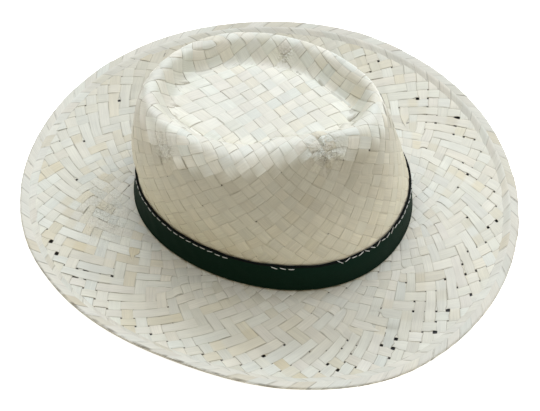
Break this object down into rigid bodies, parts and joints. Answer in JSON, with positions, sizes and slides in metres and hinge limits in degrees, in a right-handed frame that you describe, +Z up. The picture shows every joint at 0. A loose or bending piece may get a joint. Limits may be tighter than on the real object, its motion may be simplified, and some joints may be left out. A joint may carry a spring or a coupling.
{
  "type": "palm leaf hat",
  "caption": "Wide-brimmed hat plaited from palm leaf, with a teardrop dent in the crown, a brim curled up on one side, a folded hem and a dark green tape band",
  "frame": {"origin": "Middle of the hat's outline in plan, on the surface that the brim rests on.", "axes": "+Z is up. -Y is the way the wearer looks. +X is the wearer's left."},
  "size_m": [0.3534, 0.3674, 0.1111],
  "materials": {
    "palm_leaf": "dried palm leaf strips, cream to pale grey green, fine lengthwise veins, soft sheen",
    "palm_leaf_back": "folded palm leaf, slightly pinker back face of the leaf, soft sheen",
    "green_tape": "dark green woven tape with a satin face",
    "sewing_thread": "off-white cotton sewing thread"
  },
  "bodies": {
    "root": {"woven_body": "palm_leaf", "folded_hem": "palm_leaf_back", "hat_band": "green_tape"}
  },
  "joints": []
}
